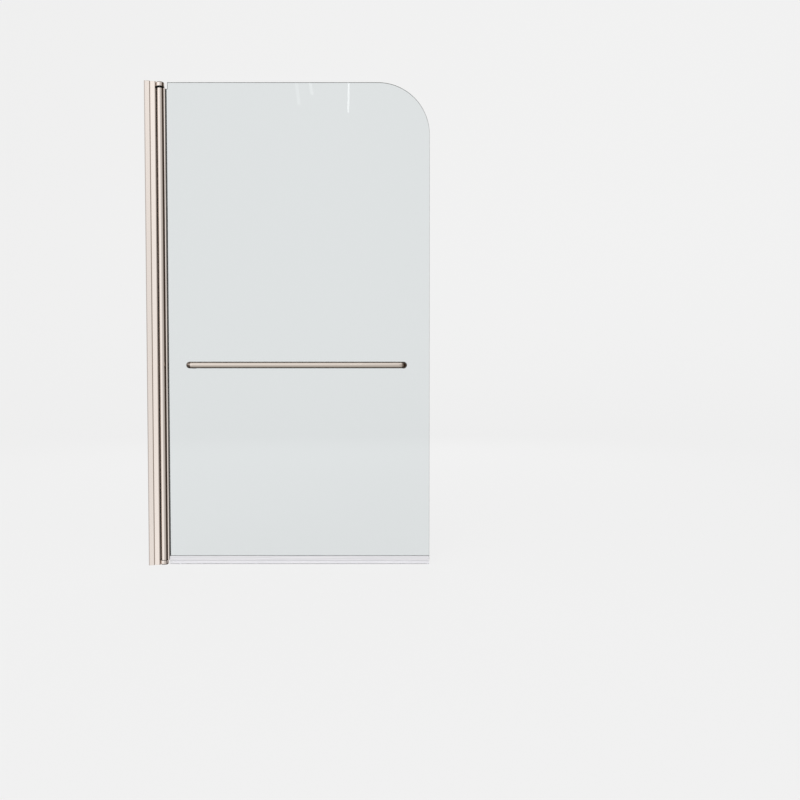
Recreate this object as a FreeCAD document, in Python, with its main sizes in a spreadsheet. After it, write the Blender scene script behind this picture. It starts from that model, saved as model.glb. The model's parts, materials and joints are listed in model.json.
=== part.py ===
import FreeCAD, Part
import math
import os
import Sketcher

# Bath screen, in millimetres. X runs out from the wall, +Y is the bath side and -Y the room side, Z is up.
# The origin lies on the wall, in the middle of the glass's thickness, on the rim of the bath.

# Driving dimensions: each is written once, here, and becomes a named cell of the sheet.
SIZES = {
    # whole screen
    "screen_height": 1400.0,
    "screen_width": 820.0,
    # wall channel
    "channel_depth": 15.9,
    "channel_web": 2.0,
    "channel_leg": 1.55,
    "channel_skin": 1.3,
    "channel_flare": 3.4,
    "channel_nose": 1.8,
    "channel_edge": 1.0,
    "wall_hole_radius": 2.5,
    "wall_hole_inset": 100.0,
    "wall_hole_spacing": 400.0,
    "channel_cap_gap": 0.5,
    "peg_depth": 8.0,
    "peg_length": 3.0,
    # adjuster screws in the channel's bath side
    "adjuster_radius": 2.0,
    "adjuster_from_wall": 8.0,
    "adjuster_sink": 1.0,
    "adjuster_inset": 250.0,
    "adjuster_socket": 2.0,
    "adjuster_socket_depth": 2.0,
    # carrier profile
    "carrier_front": 31.0,
    "carrier_back_gap": 1.2,
    "carrier_width": 24.0,
    "carrier_skin": 1.6,
    "box_length": 8.3,
    "carrier_corner": 2.5,
    # tube seal and its slot in the carrier's nose
    "slot_mouth": 3.0,
    "slot_lip": 1.4,
    "slot_width": 6.0,
    "slot_depth": 2.0,
    "slot_floor": 1.2,
    # hinge
    "tube_gap": 0.5,
    "tube_radius": 10.0,
    "tube_wall": 2.4,
    "pin_radius": 3.0,
    "pin_cover": 3.0,
    "pin_short": 1.0,
    "bush_depth": 12.0,
    "bush_flange": 1.0,
    "bush_flange_inset": 0.5,
    "top_washer": 4.0,
    "barrel_height": 12.5,
    "barrel_chamfer": 2.0,
    "barrel_edge": 0.8,
    "cap_plate": 2.0,
    "cap_plate_gap": 1.3,
    "cap_neck_width": 14.0,
    "cap_neck_height": 3.0,
    "tongue_depth": 12.0,
    "cap_screw_height": 6.0,
    "cap_screw_radius": 1.6,
    "cap_screw_length": 8.0,
    "cap_screw_head_radius": 3.2,
    "cap_screw_head": 1.6,
    "cap_screw_socket": 2.5,
    "cap_screw_socket_depth": 0.8,
    # clamp on the side of the pivot tube
    "waist_length": 0.8,
    "waist_wall": 0.5,
    "waist_slope": 2.4,
    "clamp_length": 4.4,
    "clamp_wall": 2.8,
    "clamp_corner": 0.9,
    "clamp_floor": 1.9,
    "groove_inset": 1.5,
    "groove_length": 1.5,
    "groove_depth": 0.7,
    # gaskets and packers
    "gasket_thickness": 1.2,
    "gasket_lip": 2.3,
    "gasket_lip_width": 2.8,
    "gasket_corner": 1.2,
    "gasket_inset": 2.0,
    "packer_thickness": 1.0,
    "packer_length": 60.0,
    "packer_inset": 90.0,
    # glass
    "glass_thickness": 6.0,
    "glass_corner": 150.0,
    "glass_arris": 0.6,
    "notch_gap": 5.6,
    "notch_drop": 1.5,
    "notch_corner": 3.0,
    # bottom seal
    "drip_wall": 1.2,
    "drip_grip": 11.5,
    "drip_start_gap": 0.5,
    "drip_end_inset": 0.4,
    "drip_neck_width": 2.8,
    "drip_neck_height": 3.8,
    "drip_blade_width": 1.2,
    "fin_drop": 5.7,
    "fin_reach": 5.6,
    "fin_thickness": 1.0,
    # towel rail
    "rail_radius": 9.5,
    "rail_wall": 1.5,
    "rail_spacing": 610.0,
    "rail_height": 584.4,
    "rail_standoff": 60.0,
    "rail_bend": 12.0,
    "rail_washer": 0.8,
    "glass_hole_radius": 6.0,
    "sleeve_flange": 1.0,
    "sleeve_flange_radius": 9.0,
    "stud_radius": 2.9,
    "stud_in_rail": 12.0,
    "stud_in_knob": 6.0,
    "stud_socket": 3.0,
    "stud_socket_depth": 2.5,
    "tapped_spare": 1.0,
    "knob_radius": 9.5,
    "knob_length": 9.0,
    "knob_chamfer": 1.2,
    # clearances
    "slide_clearance": 0.25,
    "seal_clearance": 0.3,
    "nose_clearance": 0.3,
    "hinge_end_clearance": 0.3,
    "running_clearance": 0.05,
    "press_clearance": 0.02,
    "push_clearance": 0.1,
    "screw_clearance": 0.3,
    "adjuster_clearance": 0.08,
}

ADJUSTER_COUNT = 3
PACKER_COUNT = 3
RAIL_POSTS = 2
HEXAGON = 6
MODEL_TOLERANCE = 1e-6
UPRIGHT = FreeCAD.Rotation()
UPSIDE_DOWN = FreeCAD.Rotation(FreeCAD.Vector(1, 0, 0), 180)
FACING_BATH = FreeCAD.Rotation(FreeCAD.Vector(1, 0, 0), -90)


class Size:
    """A length that carries both its number and the sheet expression that gives it."""

    def __init__(self, value, text):
        self.value = float(value)
        self.text = text

    def __add__(self, other):
        other = as_size(other)
        return Size(self.value + other.value, f"({self.text} + {other.text})")

    def __sub__(self, other):
        other = as_size(other)
        return Size(self.value - other.value, f"({self.text} - {other.text})")

    def __mul__(self, other):
        other = as_size(other)
        return Size(self.value * other.value, f"({self.text} * {other.text})")

    def __truediv__(self, other):
        other = as_size(other)
        return Size(self.value / other.value, f"({self.text} / {other.text})")

    def __neg__(self):
        return Size(-self.value, f"(-1 * {self.text})")

    def root(self):
        return Size(math.sqrt(self.value), f"sqrt({self.text})")


def as_size(value):
    """Sizes pass through; a bare number becomes a size whose expression is the number."""
    return value if isinstance(value, Size) else Size(value, str(value))


def make_sheet(document):
    """Writes the driving dimensions into a spreadsheet, one named cell each."""
    sheet = document.addObject("Spreadsheet::Sheet", "Sizes")
    for row, (name, value) in enumerate(SIZES.items(), start=1):
        sheet.set(f"A{row}", name)
        sheet.set(f"B{row}", str(value))
        sheet.setAlias(f"B{row}", name)
    document.recompute()
    return sheet


def size(name):
    """The driving dimension of that name."""
    return Size(SIZES[name], f"Sizes.{name}")


def bind(item, path, value):
    """Ties one property of an object to a size."""
    item.setExpression(path, as_size(value).text)


# Sketches: every corner is tied to the sheet, so each section stays parametric.

def origin_feature(body, role):
    return next(item for item in body.Origin.OriginFeatures if item.Role == role)


def new_sketch(body, name, plane="XY_Plane", offset=None):
    """A sketch on one of the body's own origin planes, moved along that plane's normal by offset."""
    sketch = body.newObject("Sketcher::SketchObject", name)
    sketch.AttachmentSupport = [(origin_feature(body, plane), "")]
    sketch.MapMode = "FlatFace"
    if offset is not None:
        bind(sketch, "AttachmentOffset.Base.z", offset)
    return sketch


def named_constraint(sketch, kind, *where, value):
    """Adds a dimension and ties it to the sheet."""
    name = f"{kind}{sketch.ConstraintCount}"
    number = sketch.addConstraint(Sketcher.Constraint(kind, *where, value.value))
    sketch.renameConstraint(number, name)
    bind(sketch, f"Constraints.{name}", value)


def pin_coordinate(sketch, axis, geometry, vertex, value):
    """Holds a point's x or y at a size, or on the other axis where the size is nought."""
    if value.value == 0:
        horizontal_axis, vertical_axis = -1, -2
        other_axis = vertical_axis if axis == "x" else horizontal_axis
        sketch.addConstraint(Sketcher.Constraint("PointOnObject", geometry, vertex, other_axis))
        return
    kind = "DistanceX" if axis == "x" else "DistanceY"
    named_constraint(sketch, kind, -1, 1, geometry, vertex, value=value)


def arc_between(start, end, radius, centre_side):
    """The shorter arc from start to end, its centre to the left of the way or to the right."""
    chord = end - start
    height = math.sqrt(radius ** 2 - (chord.Length / 2) ** 2)
    leftwards = FreeCAD.Vector(-chord.y, chord.x, 0).normalize()
    sign = 1 if centre_side == "left" else -1
    centre = (start + end) / 2 + leftwards * height * sign
    first, last = (start, end) if centre_side == "left" else (end, start)
    circle = Part.Circle(centre, FreeCAD.Vector(0, 0, 1), radius)
    angles = [math.atan2(point.y - centre.y, point.x - centre.x) for point in (first, last)]
    return Part.ArcOfCircle(circle, angles[0], angles[1])


def outline(sketch, corners, arcs=None, closed=True):
    """Draws straight sides through the corners; arcs names the sides that are (radius, centre side) arcs."""
    arcs = arcs or {}
    corners = [(as_size(x), as_size(y)) for x, y in corners]
    points = [FreeCAD.Vector(x.value, y.value, 0) for x, y in corners]
    side_count = len(corners) if closed else len(corners) - 1
    first = sketch.GeometryCount
    tips = []
    for side in range(side_count):
        start = points[side]
        end = points[(side + 1) % len(points)]
        if side in arcs:
            radius, centre_side = arcs[side]
            sketch.addGeometry(arc_between(start, end, radius.value, centre_side), False)
            named_constraint(sketch, "Radius", first + side, value=radius)
            tips.append((1, 2) if centre_side == "left" else (2, 1))
        else:
            sketch.addGeometry(Part.LineSegment(start, end), False)
            tips.append((1, 2))
    for side in range(side_count if closed else side_count - 1):
        following = (side + 1) % side_count
        joint = (first + side, tips[side][1], first + following, tips[following][0])
        sketch.addConstraint(Sketcher.Constraint("Coincident", *joint))
    for number, (x, y) in enumerate(corners):
        if number < side_count:
            geometry, vertex = first + number, tips[number][0]
        else:
            geometry, vertex = first + number - 1, tips[number - 1][1]
        straight_before = number > 0 and number - 1 not in arcs
        if straight_before and x.text == corners[number - 1][0].text:
            sketch.addConstraint(Sketcher.Constraint("Vertical", first + number - 1))
        else:
            pin_coordinate(sketch, "x", geometry, vertex, x)
        if straight_before and y.text == corners[number - 1][1].text:
            sketch.addConstraint(Sketcher.Constraint("Horizontal", first + number - 1))
        else:
            pin_coordinate(sketch, "y", geometry, vertex, y)


def rectangle(x_low, x_high, y_low, y_high):
    return [(x_low, y_low), (x_high, y_low), (x_high, y_high), (x_low, y_high)]


def with_mirror_in_x(corners):
    """Corners given from the X axis's far side up, then the same ones turned over to close the section."""
    return [(x, -y) for x, y in corners] + list(reversed(corners))


def with_mirror_in_y(corners):
    return list(corners) + [(-x, y) for x, y in reversed(corners)]


def circle(sketch, radius, x=0, y=0):
    x, y = as_size(x), as_size(y)
    centre = FreeCAD.Vector(x.value, y.value, 0)
    number = sketch.addGeometry(Part.Circle(centre, FreeCAD.Vector(0, 0, 1), radius.value), False)
    named_constraint(sketch, "Radius", number, value=radius)
    pin_coordinate(sketch, "x", number, 3, x)
    pin_coordinate(sketch, "y", number, 3, y)


def hexagon(sketch, across_flats):
    """A hexagon socket round the sketch's own origin."""
    corner_radius = across_flats / math.sqrt(3)
    corners = []
    for corner in range(HEXAGON):
        angle = 2 * math.pi * corner / HEXAGON
        corners.append((corner_radius * round(math.cos(angle), 6), corner_radius * round(math.sin(angle), 6)))
    outline(sketch, corners)


# Features

def new_body(document, label, x=0, y=0, z=0, turned=UPRIGHT):
    """A sub-part with its own frame, placed by sizes."""
    body = document.addObject("PartDesign::Body", label)
    body.Label = label
    body.Placement = FreeCAD.Placement(FreeCAD.Vector(0, 0, 0), turned)
    for axis, value in (("x", x), ("y", y), ("z", z)):
        bind(body, f"Placement.Base.{axis}", value)
    return body


def pad(body, sketch, length, symmetric=False, backwards=False):
    feature = body.newObject("PartDesign::Pad", f"{sketch.Label}_pad")
    feature.Profile = sketch
    bind(feature, "Length", length)
    feature.SideType = "Symmetric" if symmetric else "One side"
    feature.Reversed = backwards
    body.Document.recompute()
    return feature


def turn(body, sketch):
    """Revolves the sketch all the way round the body's own Z axis."""
    feature = body.newObject("PartDesign::Revolution", f"{sketch.Label}_turned")
    feature.Profile = sketch
    feature.ReferenceAxis = (origin_feature(body, "Z_Axis"), [""])
    feature.Angle = 360
    body.Document.recompute()
    return feature


def ring(body, name, outer, inner, length, offset=None):
    """A pad between two circles."""
    section = new_sketch(body, name, offset=offset)
    circle(section, outer)
    circle(section, inner)
    return pad(body, section, length)


def pocket(body, sketch, depth=None, symmetric=False, backwards=False):
    """Cuts the sketch to a depth, or through everything, and makes sure that it did cut."""
    volume_before = body.Shape.Volume
    feature = body.newObject("PartDesign::Pocket", f"{sketch.Label}_pocket")
    feature.Profile = sketch
    if depth is None:
        feature.Type = "ThroughAll"
    else:
        bind(feature, "Length", depth)
    feature.SideType = "Symmetric" if symmetric else "One side"
    feature.Reversed = backwards
    body.Document.recompute()
    if body.Shape.Volume > volume_before - MODEL_TOLERANCE:
        raise ValueError(f"{sketch.Label} of {body.Label} cuts nothing")
    return feature


def edge_names(shape, wanted):
    """Names of the edges whose middle point and direction satisfy the test."""
    names = []
    for number, edge in enumerate(shape.Edges, start=1):
        middle = edge.valueAt((edge.FirstParameter + edge.LastParameter) / 2)
        along = edge.tangentAt((edge.FirstParameter + edge.LastParameter) / 2)
        if wanted(middle, along):
            names.append(f"Edge{number}")
    return names


def near(value, target):
    return abs(value - as_size(target).value) < 1e-3


def dress(body, kind, measure, amount, wanted):
    """Rounds or chamfers the edges that satisfy the test."""
    base = body.Tip
    feature = body.newObject(f"PartDesign::{kind}", kind)
    feature.Base = (base, edge_names(base.Shape, wanted))
    bind(feature, measure, amount)
    body.Document.recompute()
    return feature


def fillet(body, radius, wanted):
    return dress(body, "Fillet", "Radius", radius, wanted)


def chamfer(body, amount, wanted):
    return dress(body, "Chamfer", "Size", amount, wanted)


def repeat(body, features, axis, length, count, backwards=False):
    """Copies the features along one of the body's axes, the last copy lying length away."""
    pattern = body.newObject("PartDesign::LinearPattern", "Repeat")
    pattern.Originals = features
    pattern.Direction = (origin_feature(body, axis), [""])
    bind(pattern, "Length", length)
    pattern.Occurrences = count
    pattern.Reversed = backwards
    body.Tip = pattern
    body.Document.recompute()
    return pattern


def upright(along):
    return abs(along.z) > 0.99


def flat_ring(height):
    """Test for edges that lie level at a height."""
    return lambda middle, along: near(middle.z, height) and abs(along.z) < 1e-3


# Sizes that follow from the driving ones

pivot = size("carrier_front") + size("tube_gap") + size("tube_radius")
carrier_half = size("carrier_width") / 2
carrier_height = size("screen_height") - size("cap_plate") * 2
carrier_end = size("carrier_front") - pivot
hollow_radius = carrier_half + size("nose_clearance")
hollow_half = (hollow_radius * hollow_radius - carrier_end * carrier_end).root()
slot_front = pivot - hollow_radius - size("slot_lip")
slot_back = slot_front - size("slot_depth")
box_front = slot_back - size("slot_floor")
box_back = box_front - size("box_length")
cap_screw_from_wall = (box_front + box_back) / 2

channel_inside = carrier_half + size("slide_clearance")
channel_lip = channel_inside + size("channel_leg")
channel_base = channel_lip + size("channel_flare")
channel_front = size("channel_depth") - size("channel_nose")
channel_slope = (size("channel_flare") - size("channel_nose")) / channel_front
channel_top = size("screen_height") - size("cap_plate") + size("channel_cap_gap")
adjuster_span = size("screen_height") - size("adjuster_inset") * 2

top_gap = size("top_washer") + size("hinge_end_clearance") + size("bush_flange")
profile_bottom = size("barrel_height") + size("bush_flange")
profile_top = size("screen_height") - size("barrel_height") - top_gap
profile_length = profile_top - profile_bottom
tube_bore = size("tube_radius") - size("tube_wall")
glass_half = size("glass_thickness") / 2
clamp_inside = glass_half + size("gasket_thickness")
clamp_half = clamp_inside + size("clamp_wall")
clamp_back = size("tube_radius") + size("waist_length")
clamp_end = clamp_back + size("clamp_length")
clamp_floor = tube_bore + size("clamp_floor")
groove_front = clamp_end - size("groove_inset")
groove_back = groove_front - size("groove_length")
groove_half = clamp_inside + size("groove_depth")

glass_bottom = profile_bottom
glass_start = pivot + clamp_floor + size("packer_thickness")
drip_top = glass_bottom + size("drip_grip")
drip_start = pivot + clamp_end + size("drip_start_gap")
rail_middle = (pivot + clamp_end + size("gasket_lip") + size("screen_width")) / 2
rail_first_post = rail_middle - size("rail_spacing") / 2
rail_bore = size("rail_radius") - size("rail_wall")
post_end = glass_half + size("rail_washer")
sleeve_face = glass_half + size("sleeve_flange")
tapped_radius = size("stud_radius") + size("running_clearance")


# Wall side

def flange_face(from_wall):
    """How far the outer face of a flange stands from the glass's middle plane."""
    return channel_base - channel_slope * from_wall


def channel_outside():
    """The channel's outer edge, room side first: a straight taper, then a quarter round to the lip."""
    return with_mirror_in_x([(0, channel_base), (channel_front, channel_lip + size("channel_nose")),
                             (size("channel_depth"), channel_lip)])


def ease_wall_edges(body):
    """Takes the sharpness off the two outer edges beside the wall."""
    fillet(body, size("channel_edge"), lambda middle, along: upright(along)
           and near(middle.x, 0) and near(abs(middle.y), channel_base))


def make_wall_channel(document):
    """U extrusion screwed to the wall. Its flanges are hollow and tapered, its web has the wall holes."""
    body = new_body(document, "wall_channel")
    section = new_sketch(body, "Section")
    outer = channel_outside()
    inner = [(size("channel_depth"), -channel_inside), (size("channel_web"), -channel_inside),
             (size("channel_web"), channel_inside), (size("channel_depth"), channel_inside)]
    nose = (size("channel_nose"), "left")
    outline(section, outer[:3] + inner + outer[3:], {1: nose, 7: nose})
    for side in (1, -1):
        outline(section, [(x, y * side) for x, y in flange_chamber()])
    pad(body, section, channel_top)
    ease_wall_edges(body)

    wall_holes = new_sketch(body, "WallHoles", "YZ_Plane")
    lower = size("wall_hole_inset")
    upper = size("screen_height") - size("wall_hole_inset")
    for height in (lower, lower + size("wall_hole_spacing"), upper - size("wall_hole_spacing"), upper):
        circle(wall_holes, size("wall_hole_radius"), 0, height)
    pocket(body, wall_holes, backwards=True)

    adjuster_holes = new_sketch(body, "AdjusterHoles", "XZ_Plane")
    for number in range(ADJUSTER_COUNT):
        height = size("adjuster_inset") + adjuster_span * number / (ADJUSTER_COUNT - 1)
        circle(adjuster_holes, size("adjuster_radius") + size("running_clearance"),
               size("adjuster_from_wall"), height)
    pocket(body, adjuster_holes)
    return body


def flange_chamber():
    """The hollow inside the bath side's flange, under a skin of even thickness."""
    root = size("channel_web")
    tip = size("channel_depth") - size("channel_nose") * 2
    return [(root, channel_lip), (tip, channel_lip), (tip, flange_face(tip) - size("channel_skin")),
            (root, flange_face(root) - size("channel_skin"))]


def make_channel_cap(document):
    """Cover on the channel's top end, held by a peg in each flange's hollow."""
    body = new_body(document, "channel_cap", z=channel_top)
    plate = new_sketch(body, "Plate")
    nose = (size("channel_nose"), "left")
    outline(plate, channel_outside(), {1: nose, 3: nose})
    pad(body, plate, size("screen_height") - channel_top)
    ease_wall_edges(body)
    pegs = new_sketch(body, "Pegs")
    peg_back = size("channel_web") + size("push_clearance")
    peg_front = peg_back + size("peg_length")
    peg_low = channel_lip + size("push_clearance")
    peg_high = flange_face(peg_front) - size("channel_skin") - size("push_clearance")
    outline(pegs, rectangle(peg_back, peg_front, peg_low, peg_high))
    outline(pegs, rectangle(peg_back, peg_front, -peg_high, -peg_low))
    pad(body, pegs, size("peg_depth"), backwards=True)
    return body


def make_adjuster_screws(document):
    """Hexagon socket grub screws in the channel's bath side, pressing on the carrier behind it."""
    inner_end = carrier_half + size("adjuster_clearance")
    length = flange_face(size("adjuster_from_wall")) - size("adjuster_sink") - inner_end
    top_screw = size("screen_height") - size("adjuster_inset")
    body = new_body(document, "adjuster_screws", size("adjuster_from_wall"), inner_end, top_screw,
                    FACING_BATH)
    shank = new_sketch(body, "Shank")
    circle(shank, size("adjuster_radius"))
    features = [pad(body, shank, length)]
    socket = new_sketch(body, "Socket", offset=length)
    hexagon(socket, size("adjuster_socket"))
    features.append(pocket(body, socket, size("adjuster_socket_depth")))
    repeat(body, features, "Y_Axis", adjuster_span, ADJUSTER_COUNT)
    return body


# Carrier: slides in the channel to take up a wall that is out of true, and holds both hinge ends

def make_carrier_profile(document):
    """Adjusting extrusion: two legs in the channel, a closed box, and a nose hollowed round the tube."""
    body = new_body(document, "carrier_profile", z=size("cap_plate"))
    leg_inside = carrier_half - size("carrier_skin")
    leg_back = size("channel_web") + size("carrier_back_gap")
    web_back = box_back - size("carrier_skin")
    mouth_half = size("slot_mouth") / 2
    mouth_front = pivot - (hollow_radius * hollow_radius - mouth_half * mouth_half).root()
    ear_inside = hollow_half + size("carrier_skin")
    ear_front = size("carrier_front") - size("carrier_skin")
    section = new_sketch(body, "Section")
    hollow = (hollow_radius, "right")
    outline(section, with_mirror_in_x([
        (web_back, leg_inside), (leg_back, leg_inside), (leg_back, carrier_half),
        (size("carrier_front"), carrier_half), (size("carrier_front"), hollow_half),
        (mouth_front, mouth_half), (slot_front, mouth_half), (slot_front, size("slot_width") / 2),
        (slot_back, size("slot_width") / 2)]), {4: hollow, 12: hollow})
    outline(section, with_mirror_in_x([
        (box_front, ear_inside), (ear_front, ear_inside), (ear_front, leg_inside), (box_back, leg_inside)]))
    pad(body, section, carrier_height)
    fillet(body, size("carrier_corner"), lambda middle, along: upright(along)
           and near(middle.x, size("carrier_front")) and near(abs(middle.y), carrier_half))

    screw_holes = new_sketch(body, "CapScrewHoles", "XZ_Plane")
    for height in (size("cap_screw_height"), carrier_height - size("cap_screw_height")):
        circle(screw_holes, size("cap_screw_radius") + size("running_clearance"), cap_screw_from_wall, height)
    pocket(body, screw_holes)
    return body


def make_hinge_cap(document, label, height, turned):
    """Casting at one end of the hinge: plate and tongue on the carrier, neck, and a barrel for the pin."""
    body = new_body(document, label, pivot, 0, height, turned)
    bevel = size("barrel_edge") / math.sqrt(2)
    barrel = new_sketch(body, "Barrel", "XZ_Plane")
    outline(barrel, [(0, 0), (carrier_half - size("barrel_chamfer"), 0),
                     (carrier_half - bevel, size("barrel_chamfer") - bevel),
                     (carrier_half, size("barrel_chamfer") + size("barrel_edge")),
                     (carrier_half, size("barrel_height")), (0, size("barrel_height"))])
    turn(body, barrel)
    neck = new_sketch(body, "Neck")
    neck_half = size("cap_neck_width") / 2
    outline(neck, rectangle(carrier_end, 0, -neck_half, neck_half))
    pad(body, neck, size("cap_neck_height"))

    plate = new_sketch(body, "Plate")
    plate_back = size("channel_depth") + size("cap_plate_gap") - pivot
    outline(plate, rectangle(plate_back, carrier_end, -carrier_half, carrier_half))
    pad(body, plate, size("cap_plate"))
    fillet(body, size("carrier_corner"), lambda middle, along: upright(along)
           and near(middle.x, carrier_end) and near(abs(middle.y), carrier_half))

    tongue = new_sketch(body, "Tongue", offset=size("cap_plate"))
    tongue_back = box_back - pivot + size("push_clearance")
    tongue_front = box_front - pivot - size("push_clearance")
    tongue_half = carrier_half - size("carrier_skin") - size("push_clearance")
    outline(tongue, rectangle(tongue_back, tongue_front, -tongue_half, tongue_half))
    pad(body, tongue, size("tongue_depth"))

    bore = new_sketch(body, "PinBore", offset=size("barrel_height"))
    circle(bore, size("pin_radius") + size("press_clearance"))
    pocket(body, bore, size("barrel_height") - size("pin_cover"))
    pilot = new_sketch(body, "ScrewPilot", "XZ_Plane")
    circle(pilot, size("cap_screw_radius"), cap_screw_from_wall - pivot,
           size("cap_plate") + size("cap_screw_height"))
    pocket(body, pilot, backwards=turned is UPSIDE_DOWN)
    return body


def make_top_washer(document):
    """Thick nylon washer held by the top pin, as wide as the hinge cap above it."""
    body = new_body(document, "pivot_washer_top", pivot, 0, size("screen_height") - size("barrel_height"),
                    UPSIDE_DOWN)
    ring(body, "Washer", carrier_half, size("pin_radius") + size("press_clearance"), size("top_washer"))
    return body


def make_pivot_pin(document, label, height, gap, turned):
    """Steel pin pressed into a hinge cap, standing in the pivot bush."""
    body = new_body(document, label, pivot, 0, height, turned)
    in_bush = size("bush_depth") - size("pin_short")
    section = new_sketch(body, "Section", offset=size("pin_cover"))
    circle(section, size("pin_radius"))
    pad(body, section, size("barrel_height") - size("pin_cover") + gap + in_bush)
    return body


def make_cap_screws(document):
    """Screws through the carrier's bath side into the tongues of the hinge caps."""
    low = size("cap_plate") + size("cap_screw_height")
    body = new_body(document, "hinge_cap_screws", cap_screw_from_wall, carrier_half,
                    size("screen_height") - low, FACING_BATH)
    shank = new_sketch(body, "Shank")
    circle(shank, size("cap_screw_radius") - size("press_clearance"))
    features = [pad(body, shank, size("cap_screw_length"), backwards=True)]
    head = new_sketch(body, "Head")
    circle(head, size("cap_screw_head_radius"))
    features.append(pad(body, head, size("cap_screw_head")))
    recess = new_sketch(body, "Recess", offset=size("cap_screw_head"))
    hexagon(recess, size("cap_screw_socket"))
    features.append(pocket(body, recess, size("cap_screw_socket_depth")))
    repeat(body, features, "Y_Axis", size("screen_height") - low * 2, 2)
    return body


def make_tube_seal(document):
    """Soft strip clipped in the carrier's nose: it lines the nose's hollow and follows the turning tube."""
    body = new_body(document, "tube_seal", pivot, 0, profile_bottom)
    fit = size("push_clearance")
    foot_front = slot_front - pivot - fit
    foot_back = slot_back - pivot + fit
    mouth_half = size("slot_mouth") / 2 - fit
    foot_half = size("slot_width") / 2 - fit
    seal_half = hollow_half - fit * 2
    back_radius = hollow_radius - fit
    face_radius = size("tube_radius") + size("seal_clearance")
    neck_front = -(back_radius * back_radius - mouth_half * mouth_half).root()
    back_tip = -(back_radius * back_radius - seal_half * seal_half).root()
    face_tip = -(face_radius * face_radius - seal_half * seal_half).root()
    section = new_sketch(body, "Section")
    outline(section, with_mirror_in_x([
        (foot_back, foot_half), (foot_front, foot_half), (foot_front, mouth_half),
        (neck_front, mouth_half), (back_tip, seal_half), (face_tip, seal_half)]),
        {3: (back_radius, "left"), 5: (face_radius, "right"), 7: (back_radius, "left")})
    pad(body, section, profile_length)
    return body


# Screen: everything that swings on the two pins

def make_bush(document, label, height, turned):
    """Flanged nylon bush: a plug in the end of the tube, and a thin flange that the screen turns on."""
    body = new_body(document, label, pivot, 0, height, turned)
    collar = new_sketch(body, "Flange")
    circle(collar, size("tube_radius") - size("bush_flange_inset"))
    pad(body, collar, size("bush_flange"))
    plug = new_sketch(body, "Plug")
    circle(plug, tube_bore - size("running_clearance"))
    pad(body, plug, size("bush_depth"), backwards=True)
    bore = new_sketch(body, "Bore", offset=size("bush_flange"))
    circle(bore, size("pin_radius") + size("running_clearance"))
    pocket(body, bore)
    return body


def make_pivot_profile(document):
    """One extrusion: the round pivot tube, a V-shaped waist, and the clamp that grips the glass's edge."""
    body = new_body(document, "pivot_profile", pivot, 0, profile_bottom)
    tube = new_sketch(body, "Tube")
    circle(tube, size("tube_radius"))
    pad(body, tube, profile_length)

    waist_half = clamp_inside + size("waist_wall")
    clamp = new_sketch(body, "Clamp")
    outline(clamp, with_mirror_in_x([
        (0, waist_half), (clamp_back - size("waist_slope"), waist_half), (clamp_back, clamp_half),
        (clamp_end, clamp_half)]))
    pad(body, clamp, profile_length)
    fillet(body, size("clamp_corner"), lambda middle, along: upright(along)
           and near(abs(middle.y), clamp_half))

    bore = new_sketch(body, "Bore")
    circle(bore, tube_bore)
    pocket(body, bore, backwards=True)

    slot = new_sketch(body, "GlassSlot")
    outline(slot, with_mirror_in_x([
        (clamp_floor, clamp_inside), (groove_back, clamp_inside), (groove_back, groove_half),
        (groove_front, groove_half), (groove_front, clamp_inside), (clamp_end, clamp_inside)]))
    pocket(body, slot, backwards=True)
    return body


def make_gasket(document, label, side):
    """Glazing gasket between glass and clamp, barbed into the clamp's groove. side is 1 for the bath side."""
    foot = drip_top + size("push_clearance")
    body = new_body(document, label, pivot, 0, foot)
    fit = size("push_clearance")
    strip_back = glass_start - pivot + fit
    barb_back = groove_back + fit
    barb_front = groove_front - fit
    barb = groove_half - fit
    lip_end = clamp_end + size("gasket_lip")
    lip_face = glass_half + size("gasket_lip_width")
    section = new_sketch(body, "Section")
    corners = [(strip_back, glass_half), (lip_end, glass_half), (lip_end, lip_face), (clamp_end, lip_face),
               (clamp_end, clamp_inside), (barb_front, clamp_inside), (barb_front, barb),
               (barb_back, barb), (barb_back, clamp_inside), (strip_back, clamp_inside)]
    outline(section, [(x, y * side) for x, y in corners])
    pad(body, section, profile_top - size("gasket_inset") - foot)
    fillet(body, size("gasket_corner"), lambda middle, along: upright(along)
           and near(middle.x, lip_end) and near(abs(middle.y), lip_face))
    return body


def make_glass_packers(document):
    """Thin packers that keep the glass's edge off the clamp's floor."""
    body = new_body(document, "glass_packers", pivot + clamp_floor, 0, profile_bottom + size("packer_inset"))
    section = new_sketch(body, "Section")
    outline(section, rectangle(0, size("packer_thickness"), -glass_half, glass_half))
    packer = pad(body, section, size("packer_length"))
    span = profile_length - size("packer_inset") * 2 - size("packer_length")
    repeat(body, [packer], "Z_Axis", span, PACKER_COUNT)
    return body


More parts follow.
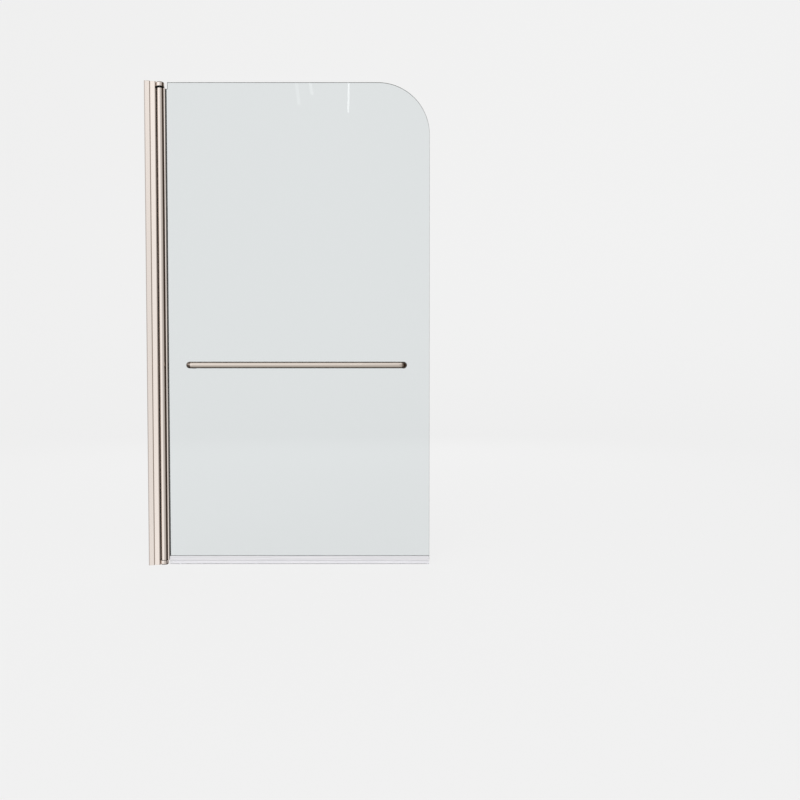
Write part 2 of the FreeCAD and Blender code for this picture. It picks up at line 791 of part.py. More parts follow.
def make_glass_panel(document):
    """Toughened pane, its outer edges arrised: notched beside the top hinge cap, one corner rounded."""
    body = new_body(document, "glass_panel")
    pane = new_sketch(body, "Pane", "XZ_Plane")
    notch_side = pivot + clamp_end + size("notch_gap")
    notch_floor = profile_top - size("notch_drop")
    far_edge = size("screen_width")
    top = size("screen_height")
    outline(pane, [(glass_start, glass_bottom), (far_edge, glass_bottom),
                   (far_edge, top - size("glass_corner")), (far_edge - size("glass_corner"), top),
                   (notch_side, top), (notch_side, notch_floor), (glass_start, notch_floor)],
            {2: (size("glass_corner"), "left")})
    pad(body, pane, size("glass_thickness"), symmetric=True)
    fillet(body, size("notch_corner"), lambda middle, along: abs(along.y) > 0.99
           and near(middle.x, notch_side) and near(middle.z, notch_floor))
    chamfer(body, size("glass_arris"), lambda middle, along: near(abs(middle.y), glass_half)
            and middle.x > (pivot + clamp_end).value)
    rail_holes = new_sketch(body, "RailHoles", "XZ_Plane")
    for post in range(RAIL_POSTS):
        circle(rail_holes, size("glass_hole_radius"), rail_first_post + size("rail_spacing") * post,
               size("rail_height"))
    pocket(body, rail_holes, size("glass_thickness"), symmetric=True)
    return body


def make_bottom_seal(document):
    """Soft extruded strip clipped on the glass's foot, with a blade on the bath's rim and two drip fins."""
    body = new_body(document, "bottom_seal", drip_start)
    grip_half = glass_half + size("drip_wall")
    web_foot = glass_bottom - size("drip_wall")
    neck_half = size("drip_neck_width") / 2
    blade_half = size("drip_blade_width") / 2
    fin_root = web_foot - size("drip_neck_height")
    fin_tip = fin_root - size("fin_drop")
    tip_inside = size("fin_reach") - size("fin_thickness")
    section = new_sketch(body, "Section", "YZ_Plane")
    outline(section, with_mirror_in_y([
        (blade_half, 0), (blade_half, fin_root - size("fin_thickness") * 2),
        (tip_inside, fin_tip), (size("fin_reach"), fin_tip + size("fin_thickness") / 2),
        (neck_half, fin_root), (neck_half, web_foot), (grip_half, web_foot), (grip_half, drip_top),
        (glass_half, drip_top), (glass_half, glass_bottom)]))
    pad(body, section, size("screen_width") - size("drip_end_inset") - drip_start)
    return body


def make_towel_rail(document):
    """Straight tube between two solid elbows, welded and polished flush; each elbow's foot is tapped."""
    body = new_body(document, "towel_rail", rail_middle, 0, size("rail_height"))
    post = size("rail_spacing") / 2
    axis_depth = -(glass_half + size("rail_standoff"))
    bend = size("rail_bend")
    route = new_sketch(body, "Route")
    outline(route, [(-post, -post_end), (-post, axis_depth + bend), (-post + bend, axis_depth),
                    (post - bend, axis_depth), (post, axis_depth + bend), (post, -post_end)],
            {1: (bend, "left"), 3: (bend, "left")}, closed=False)
    section = new_sketch(body, "Section", "XZ_Plane", offset=post_end)
    circle(section, size("rail_radius"), -post, 0)
    rail = body.newObject("PartDesign::AdditivePipe", "Rail")
    rail.Profile = section
    rail.Spine = route
    document.recompute()

    bore = new_sketch(body, "TubeBore", "YZ_Plane")
    circle(bore, size("rail_radius") - size("rail_wall"), axis_depth, 0)
    pocket(body, bore, (post - bend) * 2, symmetric=True)
    tapped = new_sketch(body, "TappedHoles", "XZ_Plane", offset=post_end)
    circle(tapped, tapped_radius, -post, 0)
    circle(tapped, tapped_radius, post, 0)
    pocket(body, tapped, size("stud_in_rail") + size("tapped_spare"), backwards=True)
    return body


def new_rail_fitting(document, label, depth):
    """A fitting at the first post, its own Z axis towards the bath, depth from the glass's middle."""
    return new_body(document, label, rail_first_post, depth, size("rail_height"), FACING_BATH)


def make_rail_fittings(document):
    """What holds the rail to the glass at each post, from the room side to the bath side."""
    stud_way = size("stud_radius") + size("screw_clearance")

    washers = new_rail_fitting(document, "rail_washers", -post_end)
    washer = [ring(washers, "Washer", size("rail_radius"), stud_way, size("rail_washer"))]

    sleeves = new_rail_fitting(document, "rail_sleeves", -glass_half)
    sleeve = [ring(sleeves, "Barrel", size("glass_hole_radius") - size("push_clearance"), stud_way,
                   size("glass_thickness")),
              ring(sleeves, "Flange", size("sleeve_flange_radius"), stud_way, size("sleeve_flange"),
                   offset=size("glass_thickness"))]

    studs = new_rail_fitting(document, "rail_studs", -post_end - size("stud_in_rail"))
    stud_length = size("stud_in_rail") + post_end + sleeve_face + size("stud_in_knob")
    thread = new_sketch(studs, "Thread")
    circle(thread, size("stud_radius"))
    stud = [pad(studs, thread, stud_length)]
    socket = new_sketch(studs, "Socket", offset=stud_length)
    hexagon(socket, size("stud_socket"))
    stud.append(pocket(studs, socket, size("stud_socket_depth")))

    knobs = new_rail_fitting(document, "rail_knobs", sleeve_face)
    turned = new_sketch(knobs, "Turned")
    circle(turned, size("knob_radius"))
    knob = [pad(knobs, turned, size("knob_length")),
            chamfer(knobs, size("knob_chamfer"), flat_ring(size("knob_length")))]
    tapped = new_sketch(knobs, "TappedHole")
    circle(tapped, tapped_radius)
    knob.append(pocket(knobs, tapped, size("stud_in_knob") + size("tapped_spare"), backwards=True))

    made = [(washers, washer), (sleeves, sleeve), (studs, stud), (knobs, knob)]
    for body, features in made:
        repeat(body, features, "X_Axis", size("rail_spacing"), RAIL_POSTS)
    return [body for body, features in made]


def make_screen(document):
    """Every sub-part, in the order in which the screen goes together."""
    height = size("screen_height")
    return [
        make_wall_channel(document),
        make_channel_cap(document),
        make_adjuster_screws(document),
        make_carrier_profile(document),
        make_hinge_cap(document, "hinge_cap_bottom", 0, UPRIGHT),
        make_hinge_cap(document, "hinge_cap_top", height, UPSIDE_DOWN),
        make_pivot_pin(document, "pivot_pin_bottom", 0, size("bush_flange"), UPRIGHT),
        make_pivot_pin(document, "pivot_pin_top", height, top_gap, UPSIDE_DOWN),
        make_top_washer(document),
        make_cap_screws(document),
        make_tube_seal(document),
        make_bush(document, "pivot_bush_bottom", profile_bottom, UPSIDE_DOWN),
        make_bush(document, "pivot_bush_top", profile_top, UPRIGHT),
        make_pivot_profile(document),
        make_gasket(document, "gasket_room_side", -1),
        make_gasket(document, "gasket_bath_side", 1),
        make_glass_packers(document),
        make_glass_panel(document),
        make_bottom_seal(document),
        make_towel_rail(document),
    ] + make_rail_fittings(document)


def check(document, bodies):
    """Stops before anything is written if an object failed or a sub-part isn't a sound solid."""
    for item in document.Objects:
        if "Invalid" in item.State or "Error" in item.State:
            raise ValueError(f"{item.Label} failed: {item.State}")
    for body in bodies:
        if body.Shape.isNull() or not body.Shape.isValid() or not body.Shape.Solids:
            raise ValueError(f"{body.Label} is not a sound solid")


def main():
    document = FreeCAD.newDocument("BathScreen")
    make_sheet(document)
    bodies = make_screen(document)
    document.recompute()
    check(document, bodies)
    os.makedirs("parts", exist_ok=True)
    for body in bodies:
        body.Shape.exportStep(f"parts/{body.Label}.step")
        box = body.Shape.BoundBox
        print(f"{body.Label}: {len(body.Shape.Solids)} solid(s), x {box.XMin:.2f} to {box.XMax:.2f}, "
              f"y {box.YMin:.2f} to {box.YMax:.2f}, z {box.ZMin:.2f} to {box.ZMax:.2f}")


main()
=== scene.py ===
import json
import math

import bmesh
import bpy
from mathutils import Matrix, Vector


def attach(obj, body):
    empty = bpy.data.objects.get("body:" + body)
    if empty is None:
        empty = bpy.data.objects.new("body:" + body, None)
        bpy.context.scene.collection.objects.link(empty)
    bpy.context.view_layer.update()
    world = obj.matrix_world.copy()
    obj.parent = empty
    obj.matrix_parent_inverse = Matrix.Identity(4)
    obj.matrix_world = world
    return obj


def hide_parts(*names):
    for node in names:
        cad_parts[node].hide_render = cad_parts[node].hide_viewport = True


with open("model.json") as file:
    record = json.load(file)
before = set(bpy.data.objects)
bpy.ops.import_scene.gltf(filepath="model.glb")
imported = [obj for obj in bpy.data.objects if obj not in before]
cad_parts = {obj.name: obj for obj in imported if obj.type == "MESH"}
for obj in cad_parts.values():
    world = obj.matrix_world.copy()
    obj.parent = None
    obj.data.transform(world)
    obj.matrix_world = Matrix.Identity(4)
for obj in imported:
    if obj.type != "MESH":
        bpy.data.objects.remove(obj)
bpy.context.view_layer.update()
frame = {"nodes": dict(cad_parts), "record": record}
solids = frame["nodes"]


# Wall channel
# A U-shaped aluminium extrusion with two hollow tapered flanges, screwed to the wall through its web.
# It is brushed along its length and plated in a warm satin nickel, with a darker band of painted shade along
# the wall edge.

def start_finish(name, **shader_values):
    """A new material with one Principled shader, its plain values set on the shader's own sockets."""
    finish = bpy.data.materials.new(name)
    finish.use_nodes = True
    shader = finish.node_tree.nodes["Principled BSDF"]
    for socket, value in shader_values.items():
        shader.inputs[socket.replace("_", " ")].default_value = value
    return finish, finish.node_tree.nodes, finish.node_tree.links, shader


def grain(nodes, links, scale, detail, stretch=(1.0, 1.0, 1.0)):
    """Noise on Object coordinates, stretched along the way that a surface was brushed or drawn."""
    spot = nodes.new("ShaderNodeTexCoord")
    drawn = nodes.new("ShaderNodeMapping")
    drawn.inputs["Scale"].default_value = stretch
    noise = nodes.new("ShaderNodeTexNoise")
    noise.inputs["Scale"].default_value = scale
    noise.inputs["Detail"].default_value = detail
    links.new(spot.outputs["Object"], drawn.inputs["Vector"])
    links.new(drawn.outputs["Vector"], noise.inputs["Vector"])
    return noise.outputs["Fac"]


GRAIN_LOW, GRAIN_HIGH = 0.3, 0.7


def tones(nodes, links, pattern, dark, light):
    """A pattern turned into a colour between two close tones."""
    ramp = nodes.new("ShaderNodeValToRGB")
    for stop, level, tone in zip(ramp.color_ramp.elements, (GRAIN_LOW, GRAIN_HIGH), (dark, light)):
        stop.position = level
        stop.color = (*tone, 1.0)
    links.new(pattern, ramp.inputs["Fac"])
    return ramp.outputs["Color"]


def spread(nodes, links, pattern, low, high):
    """A pattern's middle stretched to run from low to high."""
    span = nodes.new("ShaderNodeMapRange")
    span.inputs["From Min"].default_value = GRAIN_LOW
    span.inputs["From Max"].default_value = GRAIN_HIGH
    span.inputs["To Min"].default_value = low
    span.inputs["To Max"].default_value = high
    links.new(pattern, span.inputs["Value"])
    return span.outputs["Result"]


RELIEF_DEPTH = 0.0001


def relief(nodes, links, pattern, shader, strength):
    """A pattern pressed into the surface as relief, a tenth of a millimetre deep at full strength."""
    bump = nodes.new("ShaderNodeBump")
    bump.inputs["Strength"].default_value = strength
    bump.inputs["Distance"].default_value = RELIEF_DEPTH
    links.new(pattern, bump.inputs["Height"])
    links.new(bump.outputs["Normal"], shader.inputs["Normal"])


def arithmetic(nodes, links, operation, *values):
    """A Math node on sockets or plain numbers."""
    maths = nodes.new("ShaderNodeMath")
    maths.operation = operation
    for socket, value in zip(maths.inputs, values):
        if isinstance(value, (int, float)):
            socket.default_value = value
        else:
            links.new(value, socket)
    return maths.outputs["Value"]


COLOUR_UNDER, COLOUR_OVER, COLOUR_MIXED = 6, 7, 2


def covered(nodes, links, share, under, over):
    """One colour laid over another, where the share of the upper one goes from 0 to 1."""
    mix = nodes.new("ShaderNodeMix")
    mix.data_type = "RGBA"
    links.new(share, mix.inputs["Factor"])
    for socket, colour in ((mix.inputs[COLOUR_UNDER], under), (mix.inputs[COLOUR_OVER], over)):
        if isinstance(colour, tuple):
            socket.default_value = (*colour, 1.0)
        else:
            links.new(colour, socket)
    return mix.outputs[COLOUR_MIXED]


def within(nodes, links, *limits):
    """1 where the distance from a middle lies between low and high for each (axis, middle, low, high)."""
    spot = nodes.new("ShaderNodeTexCoord")
    axes = nodes.new("ShaderNodeSeparateXYZ")
    links.new(spot.outputs["Object"], axes.inputs["Vector"])
    share = 1.0
    for axis, middle, low, high in limits:
        away = arithmetic(nodes, links, "SUBTRACT", axes.outputs[axis], middle)
        away = arithmetic(nodes, links, "ABSOLUTE", away)
        inside = arithmetic(nodes, links, "COMPARE", away, (low + high) / 2, (high - low) / 2)
        share = arithmetic(nodes, links, "MULTIPLY", share, inside)
    return share


BRUSHING_RELIEF = 0.06


def nickel(name, metal, roughness, brushed, *shades):
    """Nickel in two tones and a range of roughness, brushed by a stretched grain, with any shaded parts."""
    finish, nodes, links, shader = start_finish(name, Metallic=1.0)
    lines = grain(nodes, links, scale=1.0, detail=4.0, stretch=brushed)
    colour = tones(nodes, links, lines, *metal)
    for shade, *limits in shades:
        colour = covered(nodes, links, within(nodes, links, *limits), colour, shade)
    links.new(colour, shader.inputs["Base Color"])
    links.new(spread(nodes, links, lines, *roughness), shader.inputs["Roughness"])
    relief(nodes, links, lines, shader, BRUSHING_RELIEF)
    return finish


WARM_NICKEL = ((0.87, 0.785, 0.725), (0.90, 0.815, 0.755))
SATIN = (0.08, 0.12)
BRUSHED_UPRIGHT = (2500.0, 2500.0, 6.0)
# Painted shade: a darker band along the edge that meets the wall.
WALL_EDGE_SHADE = ((0.58, 0.52, 0.485), ("X", 0.0, -0.001, 0.0030))
extruded_nickel = nickel("extruded_nickel", WARM_NICKEL, SATIN, BRUSHED_UPRIGHT, WALL_EDGE_SHADE)

SAME_POINT = 1e-6
FLAT_WITHIN = math.radians(0.5)
SHARP_FROM = math.radians(28)
ROUNDING_STEPS = 2
FACE_WEIGHT = 100
bodies = frame["record"]["behaviour"]["bodies"]


def eased(name, width, finish):
    """Replaces a CAD piece by a copy with its facets joined into faces and its sharp edges rounded over."""
    form = bmesh.new()
    form.from_mesh(solids[name].data)
    bmesh.ops.remove_doubles(form, verts=form.verts, dist=SAME_POINT)
    bmesh.ops.dissolve_limit(form, angle_limit=FLAT_WITHIN, verts=form.verts, edges=form.edges)
    sharp = [edge for edge in form.edges if edge.is_manifold and edge.calc_face_angle() > SHARP_FROM]
    bmesh.ops.bevel(
        form, geom=sharp, offset=width, offset_type="OFFSET", segments=ROUNDING_STEPS, profile=0.5,
        affect="EDGES", clamp_overlap=True, material=-1,
    )
    mesh = bpy.data.meshes.new(f"{name}_eased")
    form.to_mesh(mesh)
    form.free()
    mesh.shade_smooth()
    mesh.materials.append(finish)
    piece = bpy.data.objects.new(f"{name}_eased", mesh)
    bpy.context.scene.collection.objects.link(piece)
    piece.modifiers.new("even_faces", "WEIGHTED_NORMAL").weight = FACE_WEIGHT
    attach(piece, next(body for body, names in bodies.items() if name in names))
    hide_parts(name)


EXTRUSION_ROUNDING = 0.00025
eased("wall_channel", EXTRUSION_ROUNDING, extruded_nickel)


# Channel cap
# A die-cast lid whose pegs are pressed into the top of the wall channel's hollow flanges. It is in the
# same nickel, with no brush lines.

FINE_POLISH = (0.06, 0.09)
CAST_GRAIN = (300.0, 300.0, 300.0)
LID_ROUNDING = 0.0006
cast_nickel = nickel("cast_nickel", WARM_NICKEL, FINE_POLISH, CAST_GRAIN)
eased("channel_cap", LID_ROUNDING, cast_nickel)


# Adjuster screws
# Three stainless grub screws with hexagon sockets, in the bath side of the channel. They press on the
# carrier and hold it where it has been slid to.

def paint(finish, *names):
    """Puts a finish on CAD pieces."""
    for name in names:
        solids[name].data.materials[0] = finish


MACHINED_GRAIN = (1500.0, 1500.0, 1500.0)
bright_steel, nodes, links, shader = start_finish("bright_steel", Metallic=1.0)
machined = grain(nodes, links, scale=1.0, detail=2.0, stretch=MACHINED_GRAIN)
links.new(tones(nodes, links, machined, (0.52, 0.52, 0.53), (0.62, 0.62, 0.63)), shader.inputs["Base Color"])
links.new(spread(nodes, links, machined, 0.22, 0.34), shader.inputs["Roughness"])
paint(bright_steel, "adjuster_screws")


# Carrier profile
# The flat-fronted extrusion that slides in the channel to take up a wall that is out of plumb. Its
# nose is hollowed round the pivot tube.

eased("carrier_profile", EXTRUSION_ROUNDING, extruded_nickel)


# Hinge caps, their pins and their screws
# Two castings close the ends of the carrier and reach out over the pivot tube. Each holds a steel
# pin pressed into its barrel, and is fixed by one screw through the carrier.

CASTING_ROUNDING = 0.0004
eased("hinge_cap_bottom", CASTING_ROUNDING, cast_nickel)
eased("hinge_cap_top", CASTING_ROUNDING, cast_nickel)
paint(bright_steel, "pivot_pin_bottom", "pivot_pin_top", "hinge_cap_screws")


# Tube seal
# A soft dark rubber strip clipped in the carrier's nose, which follows the turning tube and keeps
# the water in.

RUBBER_RELIEF = 0.2
black_rubber, nodes, links, shader = start_finish("black_rubber")
skin = grain(nodes, links, scale=900.0, detail=3.0)
links.new(tones(nodes, links, skin, (0.030, 0.024, 0.021), (0.042, 0.034, 0.029)), shader.inputs["Base Color"])
links.new(spread(nodes, links, skin, 0.55, 0.72), shader.inputs["Roughness"])
relief(nodes, links, skin, shader, RUBBER_RELIEF)
paint(black_rubber, "tube_seal")


# Pivot profile
# One extrusion: a round tube that turns on the pins, and the clamp on its side that grips the glass.
# The narrow V-shaped waist between them has a dark tone, for the shade that lies in it.

WAIST = ((0.125, 0.095, 0.079), ("X", 0.0517, -0.001, 0.0021), ("Y", 0.0, 0.0047, 0.00705))
tube_nickel = nickel("tube_nickel", WARM_NICKEL, SATIN, BRUSHED_UPRIGHT, WAIST)
TUBE_ROUNDING = 0.0002
eased("pivot_profile", TUBE_ROUNDING, tube_nickel)


# Pivot bushes and top washer
# Turned black nylon: a flanged bush in each end of the tube, which carries the screen and runs on
# its steel pin, and a thick washer that fills the space below the top hinge cap.

black_nylon, nodes, links, shader = start_finish("black_nylon", Specular_IOR_Level=0.12)
skin = grain(nodes, links, scale=600.0, detail=2.0)
links.new(tones(nodes, links, skin, (0.004, 0.004, 0.004), (0.009, 0.009, 0.009)), shader.inputs["Base Color"])
links.new(spread(nodes, links, skin, 0.45, 0.55), shader.inputs["Roughness"])
paint(black_nylon, "pivot_bush_bottom", "pivot_bush_top")
WASHER_ROUNDING = 0.0004
eased("pivot_washer_top", WASHER_ROUNDING, black_nylon)


# Glass gaskets and packers
# Dark grey gaskets, barbed into the clamp's grooves, grip the glass on both faces, and clear nylon
# packers keep its edge off the clamp's floor. The rail's washers and sleeves are of the same nylon.

grey_gasket, nodes, links, shader = start_finish("grey_gasket")
skin = grain(nodes, links, scale=800.0, detail=3.0)
links.new(tones(nodes, links, skin, (0.10, 0.098, 0.092), (0.14, 0.137, 0.13)), shader.inputs["Base Color"])
links.new(spread(nodes, links, skin, 0.5, 0.65), shader.inputs["Roughness"])
paint(grey_gasket, "gasket_room_side", "gasket_bath_side")

clear_nylon, nodes, links, shader = start_finish("clear_nylon", IOR=1.5, Transmission_Weight=0.6)
skin = grain(nodes, links, scale=400.0, detail=2.0)
links.new(tones(nodes, links, skin, (0.78, 0.80, 0.80), (0.86, 0.87, 0.87)), shader.inputs["Base Color"])
links.new(spread(nodes, links, skin, 0.2, 0.3), shader.inputs["Roughness"])
paint(clear_nylon, "glass_packers", "rail_washers", "rail_sleeves")


# Glass panel
# One sheet of 6 mm toughened glass with polished edges, a large round at its outer top corner, a
# small notch beside the top hinge cap and two holes for the towel rail. It is clear, with the faint
# blue-green of ordinary float glass.

def smooth_step(nodes, links, value, start, end):
    """Goes smoothly from 0 to 1 as the value goes from start up or down to end."""
    step = nodes.new("ShaderNodeMapRange")
    step.interpolation_type = "SMOOTHSTEP"
    step.inputs["From Min"].default_value = start
    step.inputs["From Max"].default_value = end
    links.new(value, step.inputs["Value"])
    return step.outputs["Result"]


FACE_TINT, EDGE_TINT = (0.856, 0.889, 0.894), (0.34, 0.36, 0.35)
FACE_SQUARENESS, EDGE_SQUARENESS = 0.95, 0.80
EDGE_CLOUDINESS, EDGE_ROUGHNESS = 0.55, 0.22

clear_glass, nodes, links, shader = start_finish("clear_glass", IOR=1.5)
surface = nodes.new("ShaderNodeTexCoord")
facing = nodes.new("ShaderNodeSeparateXYZ")
links.new(surface.outputs["Normal"], facing.inputs["Vector"])
squareness = arithmetic(nodes, links, "ABSOLUTE", facing.outputs["Y"])
edge = smooth_step(nodes, links, squareness, FACE_SQUARENESS, EDGE_SQUARENESS)
links.new(covered(nodes, links, edge, FACE_TINT, EDGE_TINT), shader.inputs["Base Color"])
cloudiness = arithmetic(nodes, links, "MULTIPLY", edge, EDGE_CLOUDINESS)
clearness = arithmetic(nodes, links, "SUBTRACT", 1.0, cloudiness)
links.new(clearness, shader.inputs["Transmission Weight"])
links.new(arithmetic(nodes, links, "MULTIPLY", edge, EDGE_ROUGHNESS), shader.inputs["Roughness"])
paint(clear_glass, "glass_panel")


# Bottom seal
# A soft translucent strip clipped on the glass's bottom edge, with a blade that rests on the bath's
# rim and two fins that the water drips from.

DRAWN_ALONG = (4.0, 300.0, 300.0)
milky_seal, nodes, links, shader = start_finish("milky_seal", IOR=1.45, Transmission_Weight=0.12)
skin = grain(nodes, links, scale=1.0, detail=2.0, stretch=DRAWN_ALONG)
links.new(tones(nodes, links, skin, (0.90, 0.90, 0.94), (0.95, 0.95, 0.98)), shader.inputs["Base Color"])
links.new(spread(nodes, links, skin, 0.22, 0.32), shader.inputs["Roughness"])
paint(milky_seal, "bottom_seal")


# Towel rail and its fittings
# A drawn steel tube between two solid elbows that turn in to the glass, welded and polished flush.
# Steel studs through the glass pull it to turned knobs. The elbows have a darker tone, deepest under
# the one nearer the wall, for the dark surroundings that their tight bends mirror.

POLISHED_METAL = ((0.755, 0.675, 0.605), (0.785, 0.705, 0.635))
MIRROR_POLISH = (0.05, 0.08)
POLISHED_ALONG = (8.0, 1800.0, 1800.0)
BOTH_ELBOWS = ((0.38, 0.315, 0.27), ("X", 0.4395, 0.2995, 0.3200))
UNDER_WALL_ELBOW = ((0.10, 0.073, 0.058), ("X", 0.1297, -0.001, 0.0103), ("Z", 0.5749, -0.001, 0.0094))
polished_nickel = nickel(
    "polished_nickel", POLISHED_METAL, MIRROR_POLISH, POLISHED_ALONG, BOTH_ELBOWS, UNDER_WALL_ELBOW
)
paint(polished_nickel, "towel_rail")
KNOB_ROUNDING = 0.0004
eased("rail_knobs", KNOB_ROUNDING, polished_nickel)
paint(bright_steel, "rail_studs")


# Studio
# A seamless pale sweep stands round the screen. The metal mirrors a room that is bright in front on
# the wall's side and grey on the other, with a dark flag at each side, and these draw the lines that
# give it its shape.

SWEEP_CENTRE = Vector((0.4, 0.0, -0.0005))
SWEEP_FLAT = 5.0
SWEEP_ROUND = 3.0
SWEEP_WALL = 12.0
STEPS_UP, STEPS_ROUND = 24, 96
SWEEP_MERGE = 1e-5

sweep_form = bmesh.new()
middle = sweep_form.verts.new(SWEEP_CENTRE)
rim = sweep_form.verts.new(SWEEP_CENTRE + Vector((SWEEP_FLAT, 0, 0)))
sweep_form.edges.new((middle, rim))
curve = bmesh.ops.spin(
    sweep_form, geom=[rim], cent=SWEEP_CENTRE + Vector((SWEEP_FLAT, 0, SWEEP_ROUND)),
    axis=(0, -1, 0), angle=math.radians(90), steps=STEPS_UP, use_merge=False, use_duplicate=False,
)
curve_end = [v for v in curve["geom_last"] if isinstance(v, bmesh.types.BMVert)]
rise = bmesh.ops.extrude_vert_indiv(sweep_form, verts=curve_end)
bmesh.ops.translate(sweep_form, vec=(0, 0, SWEEP_WALL), verts=rise["verts"])
bmesh.ops.spin(
    sweep_form, geom=sweep_form.verts[:] + sweep_form.edges[:], cent=SWEEP_CENTRE, axis=(0, 0, 1),
    angle=math.radians(360), steps=STEPS_ROUND, use_merge=True, use_duplicate=False,
)
bmesh.ops.remove_doubles(sweep_form, verts=sweep_form.verts, dist=SWEEP_MERGE)
sweep_mesh = bpy.data.meshes.new("sweep")
sweep_form.to_mesh(sweep_mesh)
sweep_form.free()
sweep_mesh.shade_smooth()
sweep = bpy.data.objects.new("sweep", sweep_mesh)
bpy.context.scene.collection.objects.link(sweep)
sweep.visible_glossy = False
sweep.visible_diffuse = False
sweep.visible_shadow = False

# The sweep glows with an even light of its own, of which less is seen by way of bright metal.
SWEEP_GLOW = 0.822
MIRRORED_GLOW = 0.12
SWEEP_SHADE = 0.08

pale_paper = bpy.data.materials.new("pale_paper")
pale_paper.use_nodes = True
nodes, links = pale_paper.node_tree.nodes, pale_paper.node_tree.links
nodes.remove(nodes["Principled BSDF"])
glow = nodes.new("ShaderNodeEmission")
light_path = nodes.new("ShaderNodeLightPath")
seen_straight = arithmetic(nodes, links, "LESS_THAN", light_path.outputs["Glossy Depth"], 0.5)
strength = arithmetic(nodes, links, "MULTIPLY_ADD", seen_straight, SWEEP_GLOW - MIRRORED_GLOW, MIRRORED_GLOW)
links.new(strength, glow.inputs["Strength"])
matt = nodes.new("ShaderNodeBsdfDiffuse")
matt.inputs["Color"].default_value = (SWEEP_SHADE, SWEEP_SHADE, SWEEP_SHADE, 1.0)
both = nodes.new("ShaderNodeAddShader")
links.new(glow.outputs["Emission"], both.inputs[0])
links.new(matt.outputs["BSDF"], both.inputs[1])
links.new(both.outputs["Shader"], nodes["Material Output"].inputs["Surface"])
sweep_mesh.materials.append(pale_paper)

# The light from each bearing, in degrees from straight in front and growing away from the wall.
FLAG = (0.065, 0.045, 0.032)
BEARINGS = (
    (-180, (0.72, 0.71, 0.70)),
    (-140, (0.62, 0.61, 0.60)),
    (-124, FLAG),
    (-108, (0.10, 0.09, 0.08)),
    (-96, (0.90, 0.90, 0.90)),
    (-75, (0.94, 0.94, 0.94)),
    (-40, (1.00, 1.00, 1.00)),
    (-25, (1.03, 1.03, 1.03)),
    (-17, (0.94, 0.94, 0.94)),
    (-6, (0.88, 0.88, 0.88)),
    (3, (0.70, 0.70, 0.70)),
    (12, (0.57, 0.565, 0.56)),
    (38, (0.53, 0.52, 0.51)),
    (54, (0.47, 0.46, 0.445)),
    (67, FLAG),
    (118, FLAG),
    (136, (0.60, 0.59, 0.58)),
    (180, (0.72, 0.71, 0.70)),
)

room = bpy.data.worlds.new("soft_studio")
bpy.context.scene.world = room
room.use_nodes = True
nodes, links = room.node_tree.nodes, room.node_tree.links
direction = nodes.new("ShaderNodeTexCoord")
axes = nodes.new("ShaderNodeSeparateXYZ")
links.new(direction.outputs["Generated"], axes.inputs["Vector"])
height = axes.outputs["Z"]
ahead = arithmetic(nodes, links, "MULTIPLY", axes.outputs["Y"], -1.0)
bearing = arithmetic(nodes, links, "ARCTAN2", axes.outputs["X"], ahead)
bearing_share = arithmetic(nodes, links, "MULTIPLY_ADD", bearing, 0.5 / math.pi, 0.5)
around = nodes.new("ShaderNodeValToRGB")
stops = around.color_ramp.elements
while len(stops) < len(BEARINGS):
    stops.new(0.5)
for stop, (degrees, light) in zip(stops, BEARINGS):
    stop.position = (degrees + 180) / 360
    stop.color = (*light, 1.0)
links.new(bearing_share, around.inputs["Fac"])

# A pale ceiling and a grey floor lie in front, and both are dark behind, where the floor lies lower.
FRONT_CEILING, BACK_CEILING = (0.86, 0.855, 0.85), (0.10, 0.095, 0.09)
FRONT_FLOOR, BACK_FLOOR = (0.50, 0.485, 0.47), (0.05, 0.045, 0.04)
FRONT_FROM, FRONT_FULL = 0.18, 0.36
CEILING_FROM, CEILING_FULL = 0.35, 0.65
FLOOR_FROM, FLOOR_FULL = -0.24, -0.34
FLOOR_DROP = 0.31
LEVEL_GLOW, STEEP_GLOW, MOST_GLOW = 1.0, 0.9, 1.12

front = smooth_step(nodes, links, ahead, FRONT_FROM, FRONT_FULL)
overhead = smooth_step(nodes, links, height, CEILING_FROM, CEILING_FULL)
ceiling = covered(nodes, links, front, BACK_CEILING, FRONT_CEILING)
floor_glow = covered(nodes, links, front, BACK_FLOOR, FRONT_FLOOR)
floor_offset = arithmetic(nodes, links, "MULTIPLY_ADD", front, -FLOOR_DROP, FLOOR_DROP)
level = arithmetic(nodes, links, "ADD", height, floor_offset)
below = smooth_step(nodes, links, level, FLOOR_FROM, FLOOR_FULL)
walls_and_ceiling = covered(nodes, links, overhead, around.outputs["Color"], ceiling)
whole_room = covered(nodes, links, below, walls_and_ceiling, floor_glow)
steepness = arithmetic(nodes, links, "MULTIPLY", height, height)
brightness = arithmetic(nodes, links, "MULTIPLY_ADD", steepness, STEEP_GLOW, LEVEL_GLOW)
brightness = arithmetic(nodes, links, "MINIMUM", brightness, MOST_GLOW)
links.new(whole_room, nodes["Background"].inputs["Color"])
links.new(brightness, nodes["Background"].inputs["Strength"])

# Two soft lamps light the pieces, and three thin strips shine in the glass.

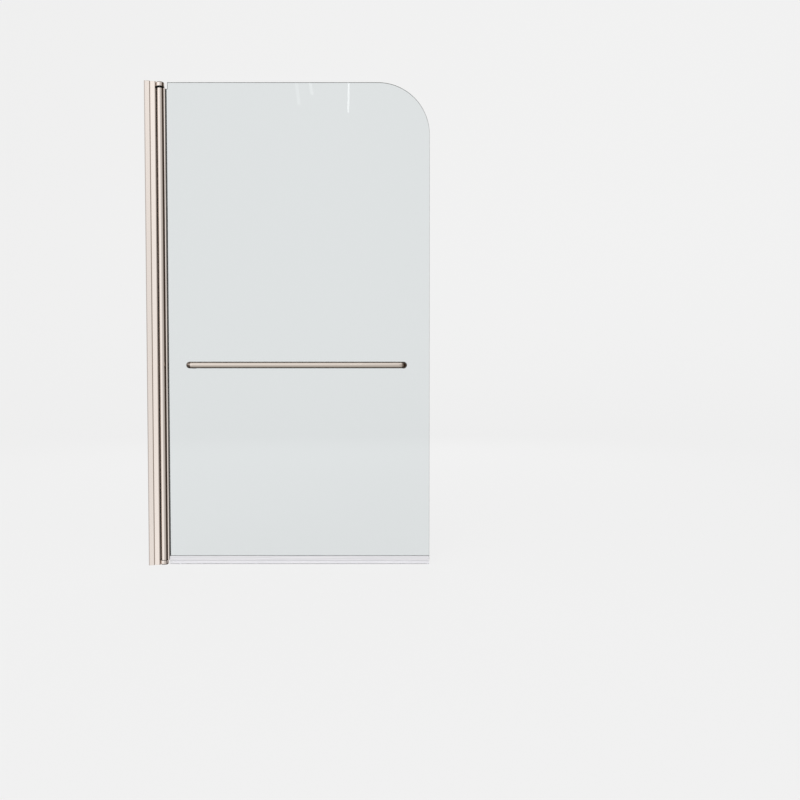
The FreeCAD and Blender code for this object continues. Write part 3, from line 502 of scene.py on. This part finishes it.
def lamp(name, place, target, width, length, watts, lean=0.0):
    """A soft rectangular lamp at a place, turned towards a target and then rolled by degrees of lean."""
    light = bpy.data.lights.new(name, "AREA")
    light.shape = "RECTANGLE"
    light.size = width
    light.size_y = length
    light.energy = watts
    fitting = bpy.data.objects.new(name, light)
    way = Vector(target) - Vector(place)
    aimed = way.to_track_quat("-Z", "Y").to_matrix().to_4x4()
    fitting.matrix_world = Matrix.Translation(place) @ aimed @ Matrix.Rotation(math.radians(lean), 4, "Z")
    bpy.context.scene.collection.objects.link(fitting)
    fitting.visible_camera = False
    return fitting


LAMP_TARGET = (0.45, 0.0, 0.3)
LAMP_WIDTH, LAMP_LENGTH = 3.0, 2.0
SOFT_LAMPS = (("key", (0.2, -3.6, 2.4), 54.0), ("fill", (0.4, 3.6, 2.2), 34.0))
soft_lamps = [
    lamp(name, place, LAMP_TARGET, LAMP_WIDTH, LAMP_LENGTH, watts) for name, place, watts in SOFT_LAMPS
]
for soft_lamp in soft_lamps:
    soft_lamp.visible_glossy = False
    soft_lamp.visible_transmission = False

# Each strip's x and height, its width and length, its watts and its lean in degrees.
STRIPS = (
    (0.318, 2.97, 0.016, 0.50, 0.056, -1.6),
    (-0.003, 2.98, 0.026, 0.25, 0.017, 8.0),
    (-0.101, 2.865, 0.026, 0.19, 0.009, 6.5),
)
STRIP_Y, STRIP_AIM_ASIDE, STRIP_AIM_DOWN = -4.0, 0.27, 1.6
for number, (x, z, width, length, watts, lean) in enumerate(STRIPS):
    aim = (x + STRIP_AIM_ASIDE, 0.0, z - STRIP_AIM_DOWN)
    strip = lamp(f"strip_{number}", (x, STRIP_Y, z), aim, width, length, watts, lean)
    strip.visible_diffuse = False

bpy.context.scene.view_settings.view_transform = "Standard"

LENS_MM, SENSOR_MM = 33.75, 36.0
CAMERA_PLACE = (0.734, -2.193, 0.552)
CAMERA_DIP = 1.8

eye = bpy.data.cameras.new("camera")
eye.lens = LENS_MM
eye.sensor_width = SENSOR_MM
camera = bpy.data.objects.new("camera", eye)
camera.location = CAMERA_PLACE
camera.rotation_euler = (math.radians(90 - CAMERA_DIP), 0.0, 0.0)
bpy.context.scene.collection.objects.link(camera)
bpy.context.scene.camera = camera
